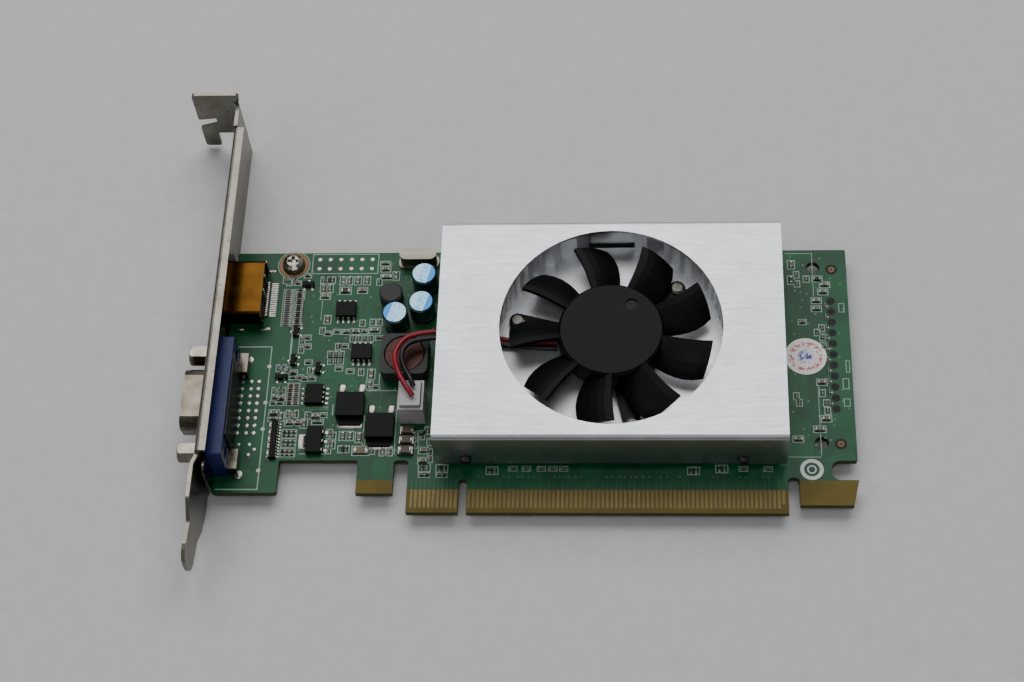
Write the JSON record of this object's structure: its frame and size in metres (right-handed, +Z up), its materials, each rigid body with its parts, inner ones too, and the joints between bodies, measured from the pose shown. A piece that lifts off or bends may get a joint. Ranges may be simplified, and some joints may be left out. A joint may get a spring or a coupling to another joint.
{
  "type": "graphics card",
  "caption": "Low-profile graphics card with a fan-cooled aluminium heatsink, a full-height rear bracket, an analogue video connector and a digital video port.",
  "frame": {"origin": "middle of the bounding box, at its lowest level, which is the underside of the heatsink screws and the bracket's lower edge", "axes": "+X along the card from the bracket to its free end, +Y from the edge contacts to the opposite long edge, +Z up from the component face"},
  "size_m": [0.1576, 0.12, 0.0214],
  "materials": {
    "solder_mask": "green solder mask over glass-fibre laminate, with gold-plated edge contacts",
    "bracket_steel": "stamped, zinc-nickel plated sheet steel",
    "screw_steel": "plated screw steel",
    "screw_black": "black oxide",
    "tin_plate": "tin-plated sheet",
    "nickel_plate": "bright nickel plate",
    "connector_blue": "moulded blue plastic",
    "connector_black": "moulded black plastic",
    "gold_plate": "gold-coloured plating",
    "brushed_aluminium": "brushed along its length, clear lacquered",
    "fin_aluminium": "bare extruded aluminium",
    "fan_black": "moulded glass-filled plastic",
    "bearing_bronze": "sintered bronze",
    "shaft_steel": "ground steel",
    "coil_winding": "enamelled copper wire on a lamination stack",
    "rubber_magnet": "bonded magnet strip",
    "driver_board": "green solder mask",
    "package_substrate": "green organic substrate",
    "silicon": "polished silicon",
    "thermal_pad": "soft grey thermal compound",
    "chip_resin": "moulded black epoxy",
    "ceramic": "sintered brown ceramic with tinned ends",
    "can_aluminium": "drawn aluminium can, printed top",
    "can_steel": "drawn nickel-plated can",
    "ferrite": "pressed ferrite",
    "connector_white": "moulded off-white plastic",
    "lead_red": "red wire insulation",
    "lead_black": "black wire insulation"
  },
  "bodies": {
    "card": {"circuit_board": "solder_mask", "bracket": "bracket_steel", "bracket_screw": "screw_steel", "vga_shell": "tin_plate", "vga_insulator": "connector_blue", "vga_pin_block": "connector_black", "vga_board_lock_upper": "tin_plate", "vga_board_lock_lower": "tin_plate", "jack_screw_upper": "nickel_plate", "jack_screw_lower": "nickel_plate", "digital_port_shell": "gold_plate", "digital_port_insulator": "connector_black", "fan_cover": "brushed_aluminium", "cover_screw_front_left": "screw_black", "cover_screw_front_right": "screw_black", "cover_screw_back_left": "screw_black", "cover_screw_back_right": "screw_black", "heatsink": "fin_aluminium", "heatsink_screw_1": "screw_steel", "heatsink_screw_2": "screw_steel", "heatsink_screw_3": "screw_steel", "heatsink_screw_4": "screw_steel", "fan_base": "fan_black", "fan_screw_1": "screw_black", "fan_screw_2": "screw_black", "fan_screw_3": "screw_black", "fan_bearing": "bearing_bronze", "fan_driver_board": "driver_board", "fan_coil": "coil_winding", "graphics_package": "package_substrate", "graphics_die": "silicon", "thermal_pad": "thermal_pad", "memory_chip_1": "chip_resin", "memory_chip_2": "chip_resin", "memory_chip_3": "chip_resin", "memory_chip_4": "chip_resin", "fan_driver_chip": "chip_resin", "power_driver_chip": "chip_resin", "port_driver_chip": "chip_resin", "regulator": "chip_resin", "power_transistor_1": "chip_resin", "power_transistor_2": "chip_resin", "ceramic_capacitor_1": "ceramic", "ceramic_capacitor_2": "ceramic", "ceramic_capacitor_3": "ceramic", "polymer_capacitor_1": "can_aluminium", "polymer_capacitor_2": "can_aluminium", "polymer_capacitor_3": "can_aluminium", "round_inductor": "ferrite", "inductor_frame": "ferrite", "inductor_core": "ferrite", "crystal_can": "can_steel", "fan_header": "connector_white", "fan_plug": "connector_white", "fan_lead_red": "lead_red", "fan_lead_black": "lead_black"},
    "rotor": {"fan_rotor": "fan_black", "fan_shaft": "shaft_steel", "fan_magnet": "rubber_magnet"}
  },
  "joints": [
    {"name": "fan_spin", "type": "hinge", "parent": "card", "child": "rotor", "pos_m": [0.02375, -0.0039, 0.0129], "axis": [0, 0, 1], "continuous": true}
  ]
}
